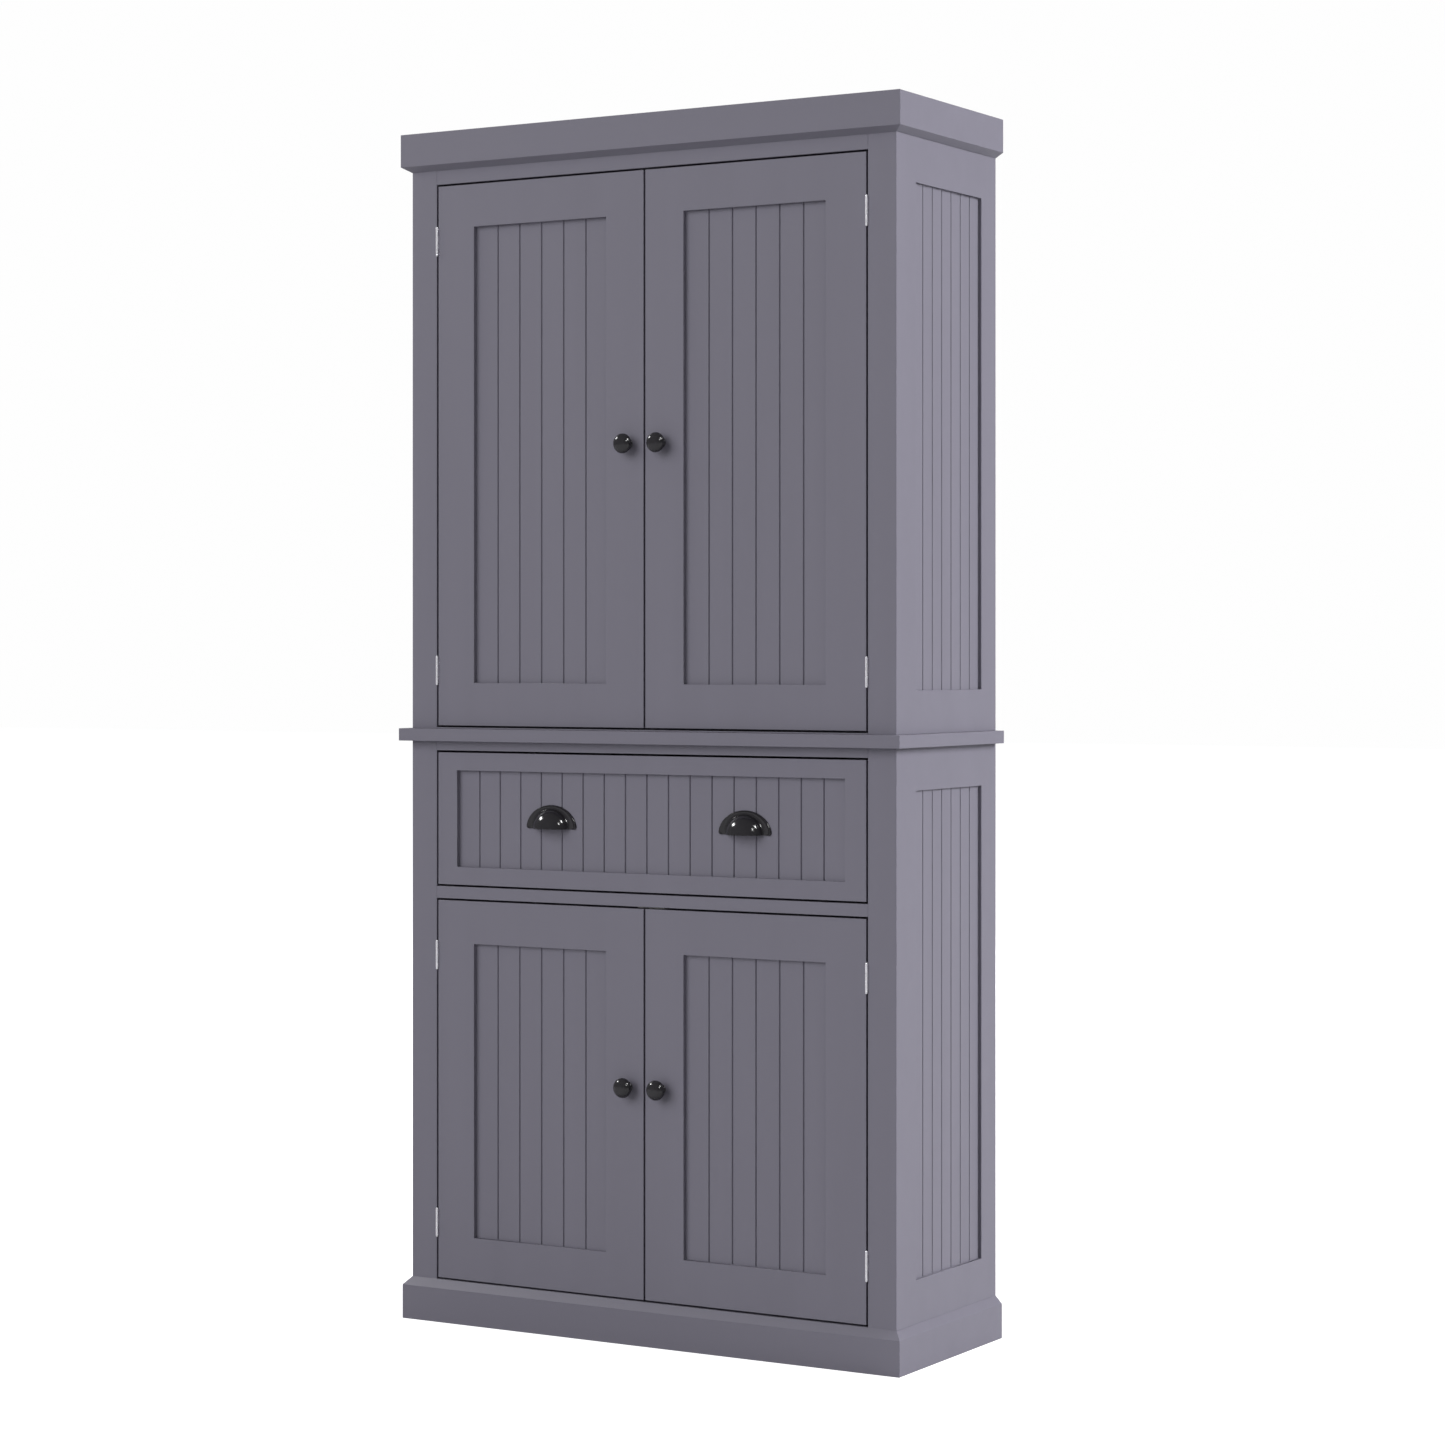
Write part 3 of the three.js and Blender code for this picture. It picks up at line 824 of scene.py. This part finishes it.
# radius, distance out of the side panel
PIN_PLUG = [(0, -4), (2.45, -4), (2.45, 0), (3.4, 0), (3.4, 0.8), (0, 0.8)]
PIN_SIDES = 20
# distance out of the side panel, distance along it
PIN_TONGUE = [(0.4, -2.6), (10, -4.2), (12.2, -3.4), (13, 0), (12.2, 3.4), (10, 4.2), (0.4, 2.6)]
PIN_TONGUE_Z = (0.9, 2.5)
PIN_RIB = [(0.4, -1), (9, -1), (9, 1), (0.4, 1)]
PIN_RIB_Z = (-1.6, 0.9)
PIN_EASE = 0.3 * MM
PIN_EDGE_ANGLE = 40


def add_shelf_pins():
    """The steel pins under each shelf: a plug in the side panel, and a ribbed tongue."""
    for shelf in SHELVES:
        shape = Shape()
        for y, z in pin_places(shelf):
            for way in SIDES.values():
                place = Matrix.Translation((way * GLUE_X, y, z)) @ Matrix.Diagonal((-way, 1, 1, 1))
                shape.lathe(PIN_PLUG, place @ Matrix.Rotation(math.pi / 2, 4, "Y"), PIN_SIDES)
                shape.slab(PIN_TONGUE, *PIN_TONGUE_Z, place)
                shape.slab(PIN_RIB, *PIN_RIB_Z, place)
        piece = add_piece(f"{shelf}_pins", shape.mesh(shelf), NODE_BODY[shelf], "nickel")
        ease(piece, PIN_EASE, angle=PIN_EDGE_ANGLE)


# measured from the middle of the doors' top edge, at their backs
CATCH_HALF_W = 24
CATCH_Y = (1.2, 16)
CATCH_BOTTOM = -14
CATCH_UNDER_RAIL = 3
CATCH_TOP = {"upper": 16, "lower": CATCH_UNDER_RAIL}
CATCH_EASE = 0.8 * MM
POLE_X = (7, 20)
POLE_HALF_T = 1
POLE_Y = (0.7, 12)
POLE_Z = (-11, -1.5)
POLE_EASE = 0.2 * MM
STRIKE_X = (4, 27)
STRIKE_T = 0.6
STRIKE_Z = (-12.5, -2.5)
STRIKE_EASE = 0.15 * MM
STRIKE_EDGE_ANGLE = 60
STRIKE_SCREW = (2.2, 0.45)


def add_catch(level):
    """A double magnetic catch under the rail, and a steel strike on the back of each door."""
    door_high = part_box(f"{level}_door_left")[1]
    top = Vector((0, door_high.y, door_high.z))
    place = Matrix.Translation(top)
    body = Shape()
    low = (-CATCH_HALF_W, CATCH_Y[0], CATCH_BOTTOM)
    body.block(low, (CATCH_HALF_W, CATCH_Y[1], CATCH_UNDER_RAIL), place)
    if CATCH_TOP[level] > CATCH_UNDER_RAIL:
        high = (CATCH_HALF_W, CATCH_Y[1], CATCH_TOP[level])
        body.block((-CATCH_HALF_W, 0, CATCH_UNDER_RAIL), high, place)
    piece = add_piece(f"{level}_catch_body", body.mesh("catch"), "carcass", "plastic")
    ease(piece, CATCH_EASE, EASE_SEGMENTS)
    poles = Shape()
    for way in SIDES.values():
        for x in POLE_X:
            low = (way * x - POLE_HALF_T, POLE_Y[0], POLE_Z[0])
            high = (way * x + POLE_HALF_T, POLE_Y[1], POLE_Z[1])
            poles.block(low, high, place)
    piece = add_piece(f"{level}_catch_poles", poles.mesh("poles"), "carcass", "zinc")
    ease(piece, POLE_EASE)
    for side, way in SIDES.items():
        strike = Shape()
        x = sorted(way * edge for edge in STRIKE_X)
        strike.block((x[0], 0, STRIKE_Z[0]), (x[1], STRIKE_T, STRIKE_Z[1]), place)
        at = top + Vector((centre(x), STRIKE_T, centre(STRIKE_Z))) * MM
        add_screw(strike, at, (0, 1, 0), *STRIKE_SCREW)
        door = f"{level}_{side}_door"
        piece = add_piece(f"{level}_strike_{side}", strike.mesh("strike"), door, "zinc")
        ease(piece, STRIKE_EASE, angle=STRIKE_EDGE_ANGLE)


def add_catches():
    for level in LEVELS:
        add_catch(level)


HANDLE_SCREW = (4, 2)
PULL_SCREW_X = 38 * MM
PULL_SCREW_DROP = 10 * MM


def add_handle_screws():
    """The machine screws that hold the knobs and cup pulls, seen from inside."""
    for level in LEVELS:
        for side in SIDES:
            node = f"{level}_knob_{side}"
            at = centre(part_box(node))
            at.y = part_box(f"{level}_door_{side}")[1].y
            shape = Shape()
            add_screw(shape, at, (0, 1, 0), *HANDLE_SCREW)
            add_piece(f"{node}_screw", shape.mesh(node), NODE_BODY[node], "zinc")
    back_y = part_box("drawer_front")[1].y
    for side in SIDES:
        node = f"cup_pull_{side}"
        middle = centre(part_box(node))
        shape = Shape()
        for x in (-PULL_SCREW_X, PULL_SCREW_X):
            at = Vector((middle.x + x, back_y, middle.z - PULL_SCREW_DROP))
            add_screw(shape, at, (0, 1, 0), *HANDLE_SCREW)
        add_piece(f"{node}_screws", shape.mesh(node), NODE_BODY[node], "zinc")


RUNNER_WALL = 1.2 * MM
RUNNER_EASE = 0.25 * MM
RUNNER_SCREW = (3.2, 1.4)
RUNNER_SCREW_Z = (-9 * MM, 9 * MM)
TAB_SCREW_INSET = 16 * MM
FOOT_SCREW_INSET = 9 * MM
SLIDE_SCREW_Y = (40 * MM, 140 * MM, 250 * MM)
BALL_R = 0.95
BALL_SIDES = 12
BALL_TURNS = [math.pi * i / 8 for i in range(1, 8)]
BALL_ARC = [(BALL_R * math.sin(t), BALL_R * math.cos(t)) for t in BALL_TURNS]
BALL_PROFILE = [(0, BALL_R), *BALL_ARC, (0, -BALL_R)]
BALL_Y = [(26 + 9 * i) * MM for i in range(6)]


def inner_and_outer(low, high):
    """How far a box's two sides are from the cabinet's middle plane."""
    return sorted((abs(low.x), abs(high.x)))


def add_cabinet_runner_screws(side, middle_z):
    """The screws through the runner's front tab, into the stile, and through its foot."""
    way = SIDES[side]
    low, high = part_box(f"cabinet_runner_{side}")
    screws = Shape()
    for z in RUNNER_SCREW_Z:
        tab = Vector((way * (GLUE_X - TAB_SCREW_INSET), low.y + RUNNER_WALL, middle_z + z))
        add_screw(screws, tab, (0, 1, 0), *RUNNER_SCREW)
        foot = Vector((way * (GLUE_X - RUNNER_WALL), high.y - FOOT_SCREW_INSET, middle_z + z))
        add_screw(screws, foot, (-way, 0, 0), *RUNNER_SCREW)
    add_piece(f"cabinet_runner_{side}_screws", screws.mesh("screws"), "carcass", "zinc")


def add_drawer_runner_screws(side, middle_z):
    way = SIDES[side]
    low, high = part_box(f"drawer_runner_{side}")
    web_x = inner_and_outer(low, high)[0] + RUNNER_WALL
    screws = Shape()
    for y in SLIDE_SCREW_Y:
        at = Vector((way * web_x, low.y + y, middle_z))
        add_screw(screws, at, (way, 0, 0), *RUNNER_SCREW)
    add_piece(f"drawer_runner_{side}_screws", screws.mesh("screws"), "drawer", "zinc")


def add_runner_balls(side, middle_z):
    """The balls between the two members, above and below, near the front of the cabinet."""
    fixed_low, fixed_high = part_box(f"cabinet_runner_{side}")
    slide_low, slide_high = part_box(f"drawer_runner_{side}")
    gap = (fixed_high.z - slide_high.z + RUNNER_WALL) / 2
    track_z = (slide_high.z - middle_z) + gap / 2
    fixed_x = inner_and_outer(fixed_low, fixed_high)[0]
    slide_x = inner_and_outer(slide_low, slide_high)[1]
    track_x = SIDES[side] * (fixed_x + slide_x) / 2
    balls = Shape()
    for up in (-1, 1):
        for y in BALL_Y:
            at = Vector((track_x, FACE_Y + y, middle_z + up * track_z))
            balls.lathe(BALL_PROFILE, Matrix.Translation(at), BALL_SIDES)
    add_piece(f"runner_balls_{side}", balls.mesh("balls"), "carcass", "nickel")


def add_runner_fittings():
    for side in SIDES:
        middle_z = centre(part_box(f"drawer_runner_{side}")).z
        add_cabinet_runner_screws(side, middle_z)
        add_drawer_runner_screws(side, middle_z)
        add_runner_balls(side, middle_z)


NAIL_PITCH = 140 * MM
NAIL_INSET = 9 * MM
NAIL_COLUMN_INSET = 130 * MM
# radius, height above the sheet
NAIL_HEAD = [(0, -0.4), (1.9, -0.1), (2.0, 0.15), (1.5, 0.42), (0.6, 0.55), (0, 0.58)]
NAIL_SIDES = 14


def add_nail_row(shape, start, end):
    """Nails from start to end, spaced evenly at about their usual pitch."""
    count = max(round((end - start).length / NAIL_PITCH), 1)
    for i in range(count + 1):
        at = start.lerp(end, i / count)
        shape.lathe(NAIL_HEAD, facing(at, (0, 1, 0)), NAIL_SIDES)


def add_back_nails():
    low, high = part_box("back_panel")
    waist = centre(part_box("waist_board")).z
    shape = Shape()
    west, east = low.x + NAIL_INSET, high.x - NAIL_INSET
    for z in (low.z + NAIL_INSET, waist, high.z - NAIL_INSET):
        add_nail_row(shape, Vector((west, high.y, z)), Vector((east, high.y, z)))
    for x in (west, east):
        for foot, head in ((low.z, waist), (waist, high.z)):
            start = Vector((x, high.y, foot + NAIL_COLUMN_INSET))
            end = Vector((x, high.y, head - NAIL_COLUMN_INSET))
            add_nail_row(shape, start, end)
    add_piece("back_panel_nails", shape.mesh("nails"), "carcass", "zinc")


CAM = (7.4, 0.6)
CAM_INSET = 34 * MM
TOP_CAM_Y = (60 * MM, 250 * MM)
RAIL_CAM_INSET = 64 * MM
RAIL_CAM_Y = 52 * MM
DRAWER_CAM_SHARES = (0.3, 0.78)


def add_cams():
    """The cam locks of the knock-down joints, where they face into a compartment."""
    top_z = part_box("top_board")[0].z
    rail_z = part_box("mid_rail")[0].z
    shape = Shape()
    for way in SIDES.values():
        for y in TOP_CAM_Y:
            at = Vector((way * (GLUE_X - CAM_INSET), FACE_Y + y, top_z))
            add_screw(shape, at, (0, 0, -1), *CAM)
        at = Vector((way * (GLUE_X - RAIL_CAM_INSET), FACE_Y + RAIL_CAM_Y, rail_z))
        add_screw(shape, at, (0, 0, -1), *CAM)
    add_piece("carcass_cams", shape.mesh("cams"), "carcass", "zinc")
    shape = Shape()
    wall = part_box("drawer_back")[1].x
    low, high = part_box("drawer_side_right")
    for way in SIDES.values():
        for share in DRAWER_CAM_SHARES:
            at = Vector((way * wall, low.y + CAM_INSET, low.z + share * (high.z - low.z)))
            add_screw(shape, at, (-way, 0, 0), *CAM)
    add_piece("drawer_cams", shape.mesh("cams"), "drawer", "zinc")


def dress_runners():
    """Keeps the CAD's runners and gives them their plating and softened edges."""
    for side in SIDES:
        for member in ("cabinet", "drawer"):
            node = f"{member}_runner_{side}"
            piece = frame["nodes"][node]
            piece.data.materials.clear()
            piece.data.materials.append(MATERIALS["zinc"])
            piece.modifiers.new("weld", "WELD").merge_threshold = WELD
            ease(piece, RUNNER_EASE)


add_studio()
add_boards()
add_drawer()
add_facings()
add_knobs()
add_cup_pulls()
add_hinges()
add_shelf_pins()
add_catches()
add_handle_screws()
add_runner_fittings()
add_back_nails()
add_cams()
dress_runners()
